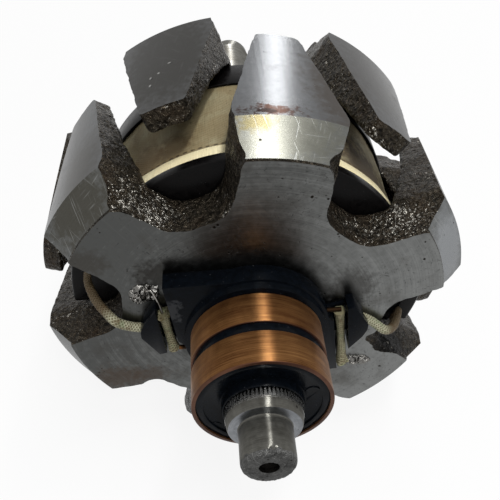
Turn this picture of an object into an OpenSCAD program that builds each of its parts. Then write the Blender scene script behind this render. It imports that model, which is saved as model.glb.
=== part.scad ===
// Claw pole rotor of a vehicle alternator, lying on its claws.
// World frame: +Z up, +Y along the shaft towards the drive end, origin on the shaft axis at the
// shoulder of the drive end bearing seat. The modules are drawn in a turning frame with z along
// the shaft towards the slip rings and z = 0 half way between the two pole halves.

/* [Claw poles] */
// Outer diameter of the rotor, over the claws
rotor_d = 107; // [104:0.5:116]
// Length of the ground outer band, between the two bevels
band_length = 48; // [44:0.2:54]
// Width of the 45 degree bevel at the root of each claw
bevel = 5.1; // [3:0.1:6]
// Width of the raw rim between the bevel and the flat face
raw_rim = 2.1; // [1:0.1:4]
// Radial step of the raw rim
raw_step = 1.2; // [0.5:0.1:2.5]
// Thickness of the pole plate that carries the claws
plate_thickness = 10; // [8:0.5:12]
// Distance that a claw tip reaches past the middle of the rotor
tip_reach = 13.7; // [10:0.1:15]
// Distance that the inner edge of a claw tip reaches past its outer edge
tip_rake = 2; // [0.5:0.1:3]
// Radial thickness of a claw at its tip
tip_thickness = 4.7; // [4:0.1:6]
// Half angle of a claw at its root
root_half_angle = 14.2; // [13.6:0.1:15]
// Half angle of a claw at its tip
tip_half_angle = 5.4; // [5:0.1:7]
// Radius of the rounded corners of a claw tip
tip_corner = 3.5; // [1:0.25:4]
// Radial thickness of a claw at its root
root_thickness = 11.9; // [10:0.1:14]
// Radial thickness of a claw where it begins to thicken towards its root
haunch_thickness = 7.6; // [7:0.1:8.6]
// Distance of that place from the pole plate
haunch_length = 15; // [10:0.5:18]
// Depth of the slots between the arms, on the flat face
slot_depth = 21; // [18:0.5:23]
// Rise of the slot floors from the flat face to the back of the plate
slot_rise = 1.3; // [0.5:0.1:2]
// Width of the arms on the flat face
arm_width = 20; // [18:0.2:21]
// Width of the arms at the back of the plate
arm_back_width = 25.2; // [24:0.2:25.6]
// Radius of the rounded corners of the slots, on the flat face
slot_corner = 8; // [6:0.5:8.5]
// Radius of the rounded corners of the slots, at the back of the plate
slot_back_corner = 6.5; // [5:0.5:6.5]
// Length of the claw's root before its sides begin to taper
root_land = 1; // [0.5:0.1:2]
// Turn of the rotor as it lies on the floor
rest_turn = 11; // [0:0.5:30]

/* [Shaft] */
// Diameter of the shaft inside the pole halves
shaft_d = 17.4; // [15:0.1:20]
// Diameter of the slip ring end journal
journal_d = 12; // [10:0.1:14]
// Length of the slip ring end journal
journal_length = 9.5; // [7:0.5:14]
// Length of knurl that shows in front of the slip ring hub
knurl_show = 3.5; // [2:0.25:6]
// Length of knurl inside the slip ring hub
knurl_hidden = 3; // [2:0.25:6]
// Depth of the knurl teeth
knurl_depth = 0.5; // [0.3:0.05:0.8]
// Length of the smooth band between knurl and journal
knurl_band = 2.6; // [1.5:0.1:4]
// Diameter of the lathe centre hole in the journal
centre_d = 2.2; // [1.6:0.1:3]
// Depth of the lathe centre hole
centre_depth = 6; // [4:0.5:8]
// Width of the flare at the mouth of the centre hole
centre_flare = 0.7; // [0.3:0.1:1.2]
// Diameter of the shoulder behind the drive end bearing
shoulder_d = 23; // [21.5:0.5:26]
// Length of that shoulder
shoulder_length = 8.5; // [5:0.5:12]
// Diameter of the drive end bearing seat
bearing_seat_d = 17; // [16.5:0.1:19]
// Length of the drive end bearing seat
bearing_seat_length = 16; // [12:0.5:20]
// Diameter of the pulley seat
pulley_seat_d = 16; // [15.5:0.1:16.4]
// Length of the pulley seat
pulley_seat_length = 27; // [20:0.5:36]
// Root diameter of the nut thread
thread_root_d = 14.4; // [13:0.1:15]
// Length of the nut thread
thread_length = 21; // [16:0.5:28]
// Diameter of the pilot at the drive end tip
pilot_d = 14.6; // [13:0.1:15.4]
// Length of that pilot
pilot_length = 4; // [2:0.5:6]
// Bevel on the shaft ends
shaft_bevel = 0.8; // [0.4:0.1:1.5]

/* [Field coil] */
// Depth of the copper winding on the bobbin
winding_depth = 11.9; // [9:0.1:15]
// Wall of the bobbin tube
bobbin_wall = 1.5; // [1:0.1:2.5]
// Thickness of the bobbin flanges
flange_thickness = 3; // [2:0.1:4]
// Thickness of the tape round the winding
tape_thickness = 1; // [0.5:0.1:1.2]
// Width of the folded hem of the tape
hem_width = 3.6; // [2:0.1:6]
// Thickness of that hem
hem_thickness = 0.6; // [0.3:0.1:0.6]
// Width of the lip that the drive end flange folds over the tape
lip_width = 6.4; // [3:0.1:9]
// Thickness of that lip
lip_thickness = 0.8; // [0.6:0.1:1.5]
// Gap between the bobbin flanges and the claws
flange_gap = 0.4; // [0.2:0.1:0.8]

/* [Slip rings] */
// Outer diameter of the slip rings
ring_d = 31.8; // [30:0.1:33.6]
// Width of each slip ring
ring_width = 8.5; // [6:0.1:10]
// Wall of the slip rings
ring_wall = 0.9; // [0.6:0.1:1.5]
// Width of the insulating band between the rings
ring_gap = 2.45; // [1.5:0.05:4]
// Distance that the insulating band lies below the rings
band_sink = 0.4; // [0.2:0.05:0.6]
// Thickness of the hub's base
base_height = 4.8; // [4:0.1:6]
// Width of the step from the hub's base to its collar
base_step = 0.7; // [0.4:0.1:1.5]
// Width of the step from the collar to the rings
collar_step = 1.4; // [0.6:0.1:2]
// Height of the collar
collar_height = 2.05; // [1:0.05:3]
// Gap round the knurl in the hub's front pocket
pocket_gap = 1; // [0.5:0.1:1.6]
// Depth of that pocket
pocket_depth = 1.6; // [1:0.1:3]
// Distance that the hub's front face lies behind the front ring
front_sink = 0.4; // [0.2:0.05:0.8]

/* [Leads] */
// Diameter of the braided lead sleeves
sleeve_d = 2.4; // [2:0.1:2.6]
// Diameter of the bare lead wires
wire_d = 0.5; // [0.3:0.05:0.8]
// Diameter of the ring terminals
terminal_d = 1.2; // [0.8:0.1:1.4]
// Thickness of the web under the lead channels
web_thickness = 0.9; // [0.6:0.1:1.2]
// Clearance round the lead sleeves
sleeve_clear = 0.15; // [0.1:0.05:0.3]

/* [Hidden] */
$fn = 96;

// Claws on each pole half, and the angle from one to the next
claws = 6;
pitch = 360 / claws;
// Cutters reach this far past the faces they cut
past = 1;
// Straight steps in each drawn arc
arc_steps = 8;

// Radii of the claw poles
rotor_r = rotor_d / 2;
bevel_r = rotor_r - bevel;
face_r = bevel_r - raw_step;
tip_inner_r = rotor_r - tip_thickness;
haunch_inner_r = rotor_r - haunch_thickness;
root_inner_r = rotor_r - root_thickness;
slot_floor = rotor_r - slot_depth;
shaft_r = shaft_d / 2;

// Stations along the shaft, on the slip ring side of the middle
band_z = band_length / 2;
taper_z = band_z - root_land;
bevel_z = band_z + bevel;
face_z = bevel_z + raw_rim;
plate_z = face_z - plate_thickness;
haunch_z = plate_z - haunch_length;
tip_end_z = -tip_reach - tip_rake;
base_z = face_z + base_height;
rear_ring_z = base_z + collar_height;
band_gap_z = rear_ring_z + ring_width;
front_ring_z = band_gap_z + ring_gap;
ring_end_z = front_ring_z + ring_width;
hub_front_z = ring_end_z - front_sink;
knurl_end_z = hub_front_z + knurl_show;
knurl_start_z = hub_front_z - pocket_depth - knurl_hidden;
journal_z = knurl_end_z + knurl_band;
journal_tip_z = journal_z + journal_length;

// Stations along the shaft, on the drive side of the middle
seat_z = -face_z - shoulder_length;
seat_end_z = seat_z - bearing_seat_length;
pulley_end_z = seat_end_z - pulley_seat_length;
thread_end_z = pulley_end_z - thread_length;
drive_tip_z = thread_end_z - pilot_length;

// Radii of the field coil, from the claws inwards
flange_r = root_inner_r - flange_gap;
tape_r = flange_r - lip_thickness;
hem_r = tape_r + hem_thickness;
winding_r = tape_r - tape_thickness;
spool_r = winding_r - winding_depth;
core_r = spool_r - bobbin_wall;
flange_z = plate_z - flange_thickness;

// Radii of the slip ring hub
ring_r = ring_d / 2;
ring_seat_r = ring_r - ring_wall;
band_r = ring_r - band_sink;
collar_r = ring_r + collar_step;
base_r = collar_r + base_step;
pocket_r = shaft_r + pocket_gap;

// Knurl teeth, their ease below the shaft's surface, and the groove that ends the journal at its shoulder
knurl_teeth = 48;
knurl_ease = 0.05;
relief_width = 0.8;
relief_depth = 0.35;

// Place left of the round of the hub's base, and left of the slot floor
function beside(d) = -base_r - d;
function out(d) = -slot_floor - d;

// Corner block of the hub's base, seen from the slip ring end
block_top = collar_r;
block = [[0, block_top], [beside(2.8), block_top], [beside(1.1), -1.6], [beside(-2), -5], [0, -5]];
// Leaf shaped wing that stands beside the block
wing = [
    [beside(5.4), 9.5], [beside(8.6), 5.2], [beside(9.7), 2.7],
    [beside(9.8), 0.6], [beside(6.1), -6], [beside(4.3), -5.6]
];
// Web that joins the wing to the block under the lead channel
web = [[beside(6), 6.5], [beside(0), 6.5], [beside(-1), -2.5], [beside(6), -4.5]];
// Heights of the middle of the sleeves over the pole face: on the face, and on the web
lead_h = sleeve_d / 2 + sleeve_clear;
tail_h = web_thickness + lead_h;
// Middle line of the notch that lets the lead in under the wing
lead_y = 0.2;

// Routes of the leads, left then right, as [x, y, height over the pole face]; the right side is drawn
// as if turned round to the left
lead_routes = [
    [
        [out(6.8), 14, -8.6], [out(8.1), 9, -8.4], [out(7.4), 6.8, -6.4], [out(5.6), 5.4, -3.3],
        [out(3.4), 4.6, -0.6], [out(1), 3.4, 1.5], [beside(12), 1.2, lead_h], [beside(7), lead_y, lead_h]
    ],
    [
        [out(5.6), 15, -8.6], [out(6.8), 11.4, -8.4], [out(6), 9.8, -6], [out(4.8), 9.3, -3.2],
        [out(3.2), 8.6, -0.4], [out(0.6), 6.9, 1.6], [beside(11.4), 3.4, lead_h], [beside(7), lead_y, lead_h]
    ]
];
tail_routes = [
    [
        [beside(4), 6.4, tail_h + 0.3], [beside(3.7), 3, tail_h],
        [beside(3.3), -2, tail_h], [beside(2.7), -6.8, tail_h]
    ],
    [
        [beside(4.3), 17, tail_h + 0.2], [beside(4), 10.8, tail_h],
        [beside(3.4), 3.6, tail_h], [beside(2.8), -2.6, tail_h]
    ]
];
wire_routes = [
    [
        [beside(4), 6.6, tail_h + 0.3], [beside(4.9), 10.5, 1.8],
        [beside(6.2), 12.9, 0.9], [beside(8.2), 11.8, 0.35]
    ],
    [
        [beside(4.3), 17.2, tail_h + 0.2], [beside(5.2), 18.6, 1.6],
        [beside(6.5), 19.4, 0.8], [beside(7.8), 19.2, 0.35]
    ]
];
// Lines, left then right, and length of the ring terminals that come out of the base
terminal_lines = [-6.9, -3];
terminal_length = 3.5;

// Stands the turning frame in the world, drive end away along +Y
module stand()
    translate([0, seat_z, 0])
        rotate([90, 0, 0])
            children();

// Turns the drawing to the angle at which the rotor lies
module at_rest_turn()
    rotate(90 - rest_turn)
        children();

// Unit vector along v
function unit(v) = v / norm(v);

// Points of a smooth curve through a route, with a number of steps for each stretch
function curve_point(a, b, c, d, t) =
    0.5 * (2 * b + (c - a) * t + (2 * a - 5 * b + 4 * c - d) * t * t + (3 * b - a - 3 * c + d) * t * t * t);
function curve(route, steps) =
    let (n = len(route))
    [
        for (i = [0 : n - 2])
            let (a = route[max(i - 1, 0)], b = route[i], c = route[i + 1], d = route[min(i + 2, n - 1)])
                for (s = [0 : steps - 1])
                    curve_point(a, b, c, d, s / steps),
        route[n - 1]
    ];

// Directions along a line of points
function directions(p) =
    let (n = len(p))
    [for (i = [0 : n - 1]) unit(p[min(i + 1, n - 1)] - p[max(i - 1, 0)])];

// Side vectors carried along the line without twist
function side_vectors(t, start) =
    let (n = len(t))
    [
        for (i = 0, s = unit(start - (start * t[0]) * t[0]); i < n;
             i = i + 1, s = i < n ? unit(s - (s * t[i]) * t[i]) : s)
            s
    ];

// Round tube along a route
module tube(route, d, steps = 3, sides = 8) {
    p = curve(route, steps);
    t = directions(p);
    s = side_vectors(t, [0.3, 0.2, 1]);
    n = len(p);
    points = [
        for (i = [0 : n - 1])
            for (k = [0 : sides - 1])
                p[i] + d / 2 * (cos(360 * k / sides) * s[i] + sin(360 * k / sides) * cross(t[i], s[i]))
    ];
    polyhedron(points, stack_faces(n, sides));
}

// Faces of a solid whose points lie in rings, one ring over the other
function stack_faces(rings, sides) =
    concat(
        [[for (k = [0 : sides - 1]) k]],
        [
            for (i = [0 : rings - 2])
                for (k = [0 : sides - 1])
                    let (next = (k + 1) % sides)
                        [i * sides + k, (i + 1) * sides + k, (i + 1) * sides + next, i * sides + next]
        ],
        [[for (k = [sides - 1 : -1 : 0]) (rings - 1) * sides + k]]
    );

// Ring between two radii and two stations
module ring(inner, outer, z0, z1)
    rotate_extrude()
        translate([inner, z0])
            square([outer - inner, z1 - z0]);

// Section of a whole pole half, before the gaps between the claws are cut
module pole_section()
    polygon([
        [shaft_r, plate_z], [root_inner_r, plate_z], [haunch_inner_r, haunch_z],
        [tip_inner_r, tip_end_z], [rotor_r, -tip_reach],
        [rotor_r, band_z], [bevel_r, bevel_z], [face_r, face_z], [shaft_r, face_z]
    ]);

// Points along an arc
function arc(centre, r, from, to) =
    [for (i = [0 : arc_steps]) let (a = from + (to - from) * i / arc_steps) centre + r * [cos(a), sin(a)]];

// Outline of a slot between two arms at a station, with its middle on the line y = 0
function slot_outline(z) =
    let (
        half = pitch / 2,
        back = (face_z - z) / plate_thickness,
        arm = (arm_width + (arm_back_width - arm_width) * back) / 2,
        corner = slot_corner + (slot_back_corner - slot_corner) * back,
        cx = slot_floor + slot_rise * back + corner,
        cy = (cx * sin(half) - arm - corner) / cos(half),
        far_x = rotor_r + 2 * past,
        far_y = (far_x * sin(half) - arm) / cos(half),
        outline = concat(
            [[far_x, -far_y], [far_x, far_y]],
            arc([cx, cy], corner, 90 + half, 180),
            arc([cx, -cy], corner, 180, 270 - half)
        )
    )
    [for (p = outline) [p[0], p[1], z]];

// Cutter for a slot, wider at the flat face than at the back of the plate
module slot_cutter() {
    back = slot_outline(plate_z - past / 2);
    front = slot_outline(face_z + past / 2);
    polyhedron(concat(back, front), stack_faces(2, len(back)));
}

// Outline that cuts one side of a claw, seen along its wall, as [across, along the shaft]
module claw_side_outline() {
    root_x = rotor_r * sin(root_half_angle);
    tip_x = rotor_r * sin(tip_half_angle);
    slope = (root_x - tip_x) / (taper_z - tip_end_z);
    lean = atan(slope);
    corner_z = tip_end_z + tip_corner - past / 2;
    corner_x = tip_x + slope * (corner_z - tip_end_z) - tip_corner / cos(lean);
    far_x = rotor_r * sin(pitch / 2) + past;
    low_z = tip_end_z - past;
    high_z = taper_z + past / 2;
    polygon(concat(
        [[corner_x, low_z]],
        arc([corner_x, corner_z], tip_corner, -90, -lean),
        [[root_x + slope * past / 2, high_z], [far_x, high_z], [far_x, low_z]]
    ));
}

// Cutter for one side of the claw on the x axis; the other side is its mirror
module claw_side_cutter()
    translate([root_inner_r * cos(pitch / 2) - past / 2, 0, 0])
        rotate([90, 0, 90])
            linear_extrude(rotor_r)
                claw_side_outline();

// Pole half with its flat face towards +z and one claw on the x axis
module claw_pole()
    difference() {
        rotate_extrude()
            pole_section();
        for (k = [0 : claws - 1])
            rotate(k * pitch) {
                rotate(pitch / 2)
                    slot_cutter();
                claw_side_cutter();
                mirror([0, 1, 0])
                    claw_side_cutter();
            }
    }

module front_claw_pole()
    color("slategray")
        stand()
            at_rest_turn()
                claw_pole();

module rear_claw_pole()
    color("slategray")
        stand()
            at_rest_turn()
                rotate(pitch / 2)
                    mirror([0, 0, 1])
                        claw_pole();

module field_core()
    color("dimgray")
        stand()
            ring(shaft_r, core_r, -plate_z, plate_z);

// Section of the shaft, from the drive end tip to the slip ring end tip
module shaft_section() {
    journal_r = journal_d / 2;
    neck_r = shaft_r - 2 * knurl_depth;
    pilot_r = pilot_d / 2;
    polygon([
        [0, drive_tip_z], [pilot_r - shaft_bevel, drive_tip_z], [pilot_r, drive_tip_z + shaft_bevel],
        [pilot_r, thread_end_z], [thread_root_d / 2, thread_end_z], [thread_root_d / 2, pulley_end_z],
        [pulley_seat_d / 2, pulley_end_z], [pulley_seat_d / 2, seat_end_z],
        [bearing_seat_d / 2, seat_end_z], [bearing_seat_d / 2, seat_z],
        [shoulder_d / 2, seat_z], [shoulder_d / 2, -face_z],
        [shaft_r, -face_z], [shaft_r, knurl_start_z],
        [neck_r, knurl_start_z], [neck_r, knurl_end_z],
        [shaft_r, knurl_end_z], [shaft_r, journal_z - shaft_bevel], [shaft_r - shaft_bevel, journal_z],
        [journal_r - relief_depth, journal_z], [journal_r - relief_depth, journal_z + relief_width],
        [journal_r, journal_z + relief_width],
        [journal_r, journal_tip_z - shaft_bevel], [journal_r - shaft_bevel, journal_tip_z],
        [0, journal_tip_z]
    ]);
}

// Star of knurl teeth
module knurl_outline()
    polygon([
        for (k = [0 : 2 * knurl_teeth - 1])
            let (r = shaft_r - knurl_ease - (k % 2 == 0 ? 0 : knurl_depth))
                r * [cos(180 * k / knurl_teeth), sin(180 * k / knurl_teeth)]
    ]);

// Lathe centre hole with a flared mouth
module centre_hole() {
    hole_r = centre_d / 2;
    ease = past / 2;
    translate([0, 0, journal_tip_z - centre_depth])
        cylinder(r = hole_r, h = centre_depth + past);
    translate([0, 0, journal_tip_z - centre_flare - ease])
        cylinder(r1 = hole_r - ease, r2 = hole_r + centre_flare + ease, h = centre_flare + 2 * ease);
}

module shaft()
    color("silver")
        stand()
            difference() {
                union() {
                    rotate_extrude()
                        shaft_section();
                    translate([0, 0, knurl_start_z])
                        linear_extrude(knurl_end_z - knurl_start_z)
                            knurl_outline();
                }
                centre_hole();
            }

// Spool with two flanges; the drive end flange folds a lip over the tape
module coil_bobbin()
    color("#1c1a1c")
        stand()
            rotate_extrude()
                polygon([
                    [core_r, -plate_z], [flange_r, -plate_z], [flange_r, lip_width - flange_z],
                    [tape_r, lip_width - flange_z], [tape_r, -flange_z], [spool_r, -flange_z],
                    [spool_r, flange_z], [flange_r, flange_z], [flange_r, plate_z], [core_r, plate_z]
                ]);

module field_winding()
    color("#8a4a20")
        stand()
            ring(spool_r, winding_r, -flange_z, flange_z);

module coil_tape()
    color("#cbbd98")
        stand()
            ring(winding_r, tape_r, -flange_z, flange_z);

module front_tape_hem()
    color("#d8cca8")
        stand()
            ring(tape_r, hem_r, flange_z - hem_width, flange_z);

// Outline of the hub's base: a round with two corner blocks
module base_outline() {
    circle(base_r);
    for (turn = [0, 180])
        rotate(turn)
            polygon(block);
}

// Insulating hub that carries the slip rings and guides the leads
module slip_ring_hub()
    color("#20242a")
        stand()
            difference() {
                union() {
                    translate([0, 0, face_z])
                        linear_extrude(base_height)
                            base_outline();
                    for (turn = [0, 180])
                        rotate(turn)
                            translate([0, 0, face_z]) {
                                linear_extrude(base_height)
                                    polygon(wing);
                                linear_extrude(web_thickness)
                                    polygon(web);
                            }
                    translate([0, 0, base_z])
                        cylinder(r = collar_r, h = collar_height);
                    translate([0, 0, rear_ring_z])
                        cylinder(r = ring_seat_r, h = hub_front_z - rear_ring_z);
                    translate([0, 0, band_gap_z])
                        cylinder(r = band_r, h = ring_gap);
                }
                translate([0, 0, face_z - past])
                    cylinder(r = shaft_r, h = hub_front_z - face_z + 2 * past);
                translate([0, 0, hub_front_z - pocket_depth])
                    cylinder(r = pocket_r, h = pocket_depth + past);
                for (turn = [0, 180])
                    rotate(turn)
                        lead_notch();
            }

// Notch under the wing, where the lead comes in
module lead_notch() {
    width = sleeve_d + 2 * sleeve_clear;
    outer_x = wing[3][0] - past;
    inner_x = wing[5][0];
    translate([outer_x, lead_y - width / 2, face_z - past])
        cube([inner_x - outer_x, width, past + width]);
}

module slip_ring(z)
    stand()
        ring(ring_seat_r, ring_r, z, z + ring_width);

module front_slip_ring()
    color("#b06a35")
        slip_ring(front_ring_z);

module rear_slip_ring()
    color("#b06a35")
        slip_ring(rear_ring_z);

// Lead piece on the pole face: side 0 is the left one, side 1 the right one
module on_face(side)
    stand()
        rotate(180 * side)
            translate([0, 0, face_z])
                children();

module lead_sleeve(side)
    color("#c9c39a")
        on_face(side)
            tube(lead_routes[side], sleeve_d);

module tail_sleeve(side)
    color("#c2bd90")
        on_face(side)
            tube(tail_routes[side], sleeve_d, steps = 2);

module lead_wire(side)
    color("gainsboro")
        on_face(side)
            tube(wire_routes[side], wire_d, steps = 3);

module ring_terminal(side) {
    line = terminal_lines[side];
    root = sqrt(base_r * base_r - line * line);
    color("#b87333")
        on_face(side)
            translate([-root - terminal_length, line, tail_h])
                rotate([0, 90, 0])
                    cylinder(d = terminal_d, h = terminal_length);
}

module left_lead_sleeve() lead_sleeve(0);
module right_lead_sleeve() lead_sleeve(1);
module left_tail_sleeve() tail_sleeve(0);
module right_tail_sleeve() tail_sleeve(1);
module left_lead_wire() lead_wire(0);
module right_lead_wire() lead_wire(1);
module left_ring_terminal() ring_terminal(0);
module right_ring_terminal() ring_terminal(1);

shaft();
front_claw_pole();
rear_claw_pole();
field_core();
coil_bobbin();
field_winding();
coil_tape();
front_tape_hem();
slip_ring_hub();
front_slip_ring();
rear_slip_ring();
left_lead_sleeve();
right_lead_sleeve();
left_tail_sleeve();
right_tail_sleeve();
left_lead_wire();
right_lead_wire();
left_ring_terminal();
right_ring_terminal();
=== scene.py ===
import bpy
import bmesh
from functools import reduce
from math import atan2, cos, degrees, hypot, pi, radians, sin
from mathutils import Matrix, Vector, noise


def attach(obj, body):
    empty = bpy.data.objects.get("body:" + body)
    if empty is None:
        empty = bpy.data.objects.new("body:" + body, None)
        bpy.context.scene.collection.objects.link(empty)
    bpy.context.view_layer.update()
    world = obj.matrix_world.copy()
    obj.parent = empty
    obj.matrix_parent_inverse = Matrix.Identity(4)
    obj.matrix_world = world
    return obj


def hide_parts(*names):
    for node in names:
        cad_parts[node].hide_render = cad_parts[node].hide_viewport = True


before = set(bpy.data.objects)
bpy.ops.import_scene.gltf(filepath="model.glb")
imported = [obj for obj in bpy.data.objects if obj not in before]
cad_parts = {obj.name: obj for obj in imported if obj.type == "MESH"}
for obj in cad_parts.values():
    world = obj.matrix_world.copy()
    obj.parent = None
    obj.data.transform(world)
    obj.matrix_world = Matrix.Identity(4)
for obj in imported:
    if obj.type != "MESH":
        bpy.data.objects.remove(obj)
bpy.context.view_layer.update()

# Sizes of the rotor in millimetres, as its solids have them
MM = 0.001
MIDDLE = -39.7
ROTOR_R = 53.5
BAND_Z = 24.0
BEVEL_R = 47.2
BEVEL_Z = 30.3
FACE_R = 47.2
FACE_Z = 31.2
TIP_Z = 15.7
SHAFT_R = 8.7
TAPE_R = 40.5
FRONT = -1
REAR = 1

# Points nearer than this, in metres, are merged
MERGE = 1e-6


def along(z, toward=FRONT):
    """Place on the shaft, in millimetres, of a station z from the middle of the rotor."""
    return MIDDLE + toward * z


# Handling of pieces

def deselect():
    bpy.ops.object.select_all(action="DESELECT")


def take_all():
    """In edit mode, select the whole mesh."""
    bpy.ops.mesh.select_all(action="SELECT")


def named(name):
    """The primitive that was just added, under its name."""
    piece = bpy.context.object
    piece.name = name
    piece.data.name = name
    return piece


def only(piece):
    """Select one piece alone and make it the active one."""
    if bpy.context.object and bpy.context.object.mode != "OBJECT":
        bpy.ops.object.mode_set(mode="OBJECT")
    deselect()
    piece.select_set(True)
    bpy.context.view_layer.objects.active = piece


def open_edit(piece):
    only(piece)
    bpy.ops.object.mode_set(mode="EDIT")


def close_edit():
    bpy.ops.object.mode_set(mode="OBJECT")


def pick(piece, kind, test):
    """In edit mode, select only the vertices, edges or faces that pass a test."""
    bpy.ops.mesh.select_mode(type=kind)
    bpy.ops.mesh.select_all(action="DESELECT")
    body = bmesh.from_edit_mesh(piece.data)
    parts = {"VERT": body.verts, "EDGE": body.edges, "FACE": body.faces}[kind]
    for part in parts:
        part.select_set(bool(test(part)))
    body.select_flush_mode()
    bmesh.update_edit_mesh(piece.data)


def apply_modifier(piece, kind, **settings):
    only(piece)
    modifier = piece.modifiers.new(kind.lower(), kind)
    for key, value in settings.items():
        setattr(modifier, key, value)
    bpy.ops.object.modifier_apply(modifier=modifier.name)


def smooth(piece, angle):
    only(piece)
    bpy.ops.object.shade_smooth_by_angle(angle=radians(angle))


def break_edges(piece, width, segments):
    """Round the sharp edges of a moulded piece."""
    apply_modifier(piece, "BEVEL", width=width * MM, segments=segments, limit_method="ANGLE",
                   angle_limit=radians(40), harden_normals=False)
    smooth(piece, 40)


def roughen(piece, label, scale, depth, strength, middle):
    """Push a surface in and out by soft noise, with its sizes in millimetres."""
    lumps = bpy.data.textures.new(label, "CLOUDS")
    lumps.noise_scale = scale * MM
    lumps.noise_depth = depth
    apply_modifier(piece, "DISPLACE", texture=lumps, strength=strength * MM, mid_level=middle,
                   texture_coords="LOCAL")


def copy_of(node, name):
    """A merged copy of a solid, to be worked on as a piece of its own."""
    piece = bpy.data.objects.new(name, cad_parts[node].data.copy())
    bpy.context.scene.collection.objects.link(piece)
    piece.data.materials.clear()
    open_edit(piece)
    take_all()
    bpy.ops.mesh.remove_doubles(threshold=MERGE)
    close_edit()
    return piece


def turned(name, outline, steps, closed=False):
    """A piece of revolution: an outline of (radius, place on the shaft) points, drawn and spun."""
    deselect()
    bpy.ops.mesh.primitive_plane_add(size=MM)
    piece = named(name)
    bpy.ops.object.mode_set(mode="EDIT")
    bpy.ops.mesh.select_mode(type="VERT")
    take_all()
    bpy.ops.mesh.merge(type="CENTER")
    points = outline + outline[:1] if closed else outline
    bpy.ops.transform.translate(value=(points[0][0] * MM, points[0][1] * MM, 0))
    for (r0, y0), (r1, y1) in zip(points, points[1:]):
        step = ((r1 - r0) * MM, (y1 - y0) * MM, 0)
        bpy.ops.mesh.extrude_vertices_move(TRANSFORM_OT_translate={"value": step})
    take_all()
    bpy.ops.mesh.spin(steps=steps, angle=2 * pi, center=(0, 0, 0), axis=(0, 1, 0))
    take_all()
    bpy.ops.mesh.remove_doubles(threshold=2 * MERGE)
    bpy.ops.mesh.normals_make_consistent(inside=False)
    close_edit()
    return piece


def finish_piece(piece, materials, stands_for=()):
    """Give a piece its materials and the solids that it stands for."""
    if materials:
        piece.data.materials.clear()
        for material in materials:
            piece.data.materials.append(material)
    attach(piece, "root")
    if stands_for:
        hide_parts(*stands_for)


# Handling of materials

class Value:
    """A number, place or colour that a node puts out, so that sums are written as usual."""

    def __init__(self, socket):
        self.socket = socket
        self.tree = socket.id_data

    def __add__(self, other):
        return sums("ADD", self, other)

    def __radd__(self, other):
        return sums("ADD", other, self)

    def __sub__(self, other):
        return sums("SUBTRACT", self, other)

    def __rsub__(self, other):
        return sums("SUBTRACT", other, self)

    def __mul__(self, other):
        return sums("MULTIPLY", self, other)

    def __truediv__(self, other):
        return sums("DIVIDE", self, other)


def plug(socket, value):
    """Link a value to a socket, or set a constant on the socket itself."""
    if isinstance(value, Value):
        value.tree.links.new(value.socket, socket)
    else:
        socket.default_value = value


def outputs_of(node):
    return {socket.name: Value(socket) for socket in node.outputs}


def add(tree, kind, inputs=None, output=0, **settings):
    """One output of a new node with its settings and inputs."""
    node = tree.nodes.new(kind)
    for key, value in settings.items():
        setattr(node, key, value)
    for key, value in (inputs or {}).items():
        plug(node.inputs[key], value)
    return Value(node.outputs[output])


def sums(operation, *values, clamp=False):
    tree = next(value.tree for value in values if isinstance(value, Value))
    return add(tree, "ShaderNodeMath", dict(enumerate(values)), operation=operation, use_clamp=clamp)


def strongest(masks):
    """The highest of several masks."""
    return reduce(lambda one, other: sums("MAXIMUM", one, other), masks)


def split(place):
    """The three parts of a place."""
    node = place.tree.nodes.new("ShaderNodeSeparateXYZ")
    plug(node.inputs[0], place)
    return [Value(socket) for socket in node.outputs]


def tint(factor, low, high):
    """Colour between low and high, each a colour or a value."""
    low, high = [colour if isinstance(colour, Value) else (*colour, 1) for colour in (low, high)]
    return add(factor.tree, "ShaderNodeMix", {0: factor, 6: low, 7: high}, output=2, data_type="RGBA")


def between(value, low, high, start=0.0, end=1.0):
    """Value spread from low..high to start..end, held at both ends."""
    return add(value.tree, "ShaderNodeMapRange", {"Value": value, "From Min": low, "From Max": high,
                                                  "To Min": start, "To Max": end})


def clouds(place, scale, detail=3.0, rough=0.55, warp=0.0):
    return add(place.tree, "ShaderNodeTexNoise", {"Vector": place, "Scale": scale, "Detail": detail,
                                                  "Roughness": rough, "Distortion": warp})


def stretched(place, x, y, z, move=(0, 0, 0)):
    return add(place.tree, "ShaderNodeMapping", {"Vector": place, "Scale": (x, y, z), "Location": move})


def scaled(colour, factor):
    return tuple(min(1, factor * part) for part in colour)


def new_group(name, places, numbers, masks):
    """A shared effect: named places and numbers come in, and masks go out."""
    tree = bpy.data.node_groups.new(name, "ShaderNodeTree")
    for label in places:
        tree.interface.new_socket(label, in_out="INPUT", socket_type="NodeSocketVector")
    for label, value in numbers.items():
        socket = tree.interface.new_socket(label, in_out="INPUT", socket_type="NodeSocketFloat")
        socket.default_value = value
    for label in masks:
        tree.interface.new_socket(label, in_out="OUTPUT", socket_type="NodeSocketFloat")
    return tree, outputs_of(tree.nodes.new("NodeGroupInput")), tree.nodes.new("NodeGroupOutput").inputs


def use_group(group, place, **values):
    """The masks of a shared effect at a place, with this material's own values."""
    node = place.tree.nodes.new("ShaderNodeGroup")
    node.node_tree = group
    plug(node.inputs["Place"], place)
    for key, value in values.items():
        plug(node.inputs[key.capitalize()], value)
    return outputs_of(node)


def new_material(name):
    """A material, the sockets of its shader and the place on the rotor in millimetres."""
    material = bpy.data.materials.new(name)
    material.use_nodes = True
    tree = material.node_tree
    place = stretched(add(tree, "ShaderNodeTexCoord", output="Object"), 1000, 1000, 1000)
    return material, tree.nodes["Principled BSDF"].inputs, place


def bump(shader, height, distance):
    """Relief of a surface, with its depth in millimetres."""
    plug(shader["Normal"], add(height.tree, "ShaderNodeBump", {"Height": height, "Strength": 1.0,
                                                               "Distance": distance * MM}))


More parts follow.
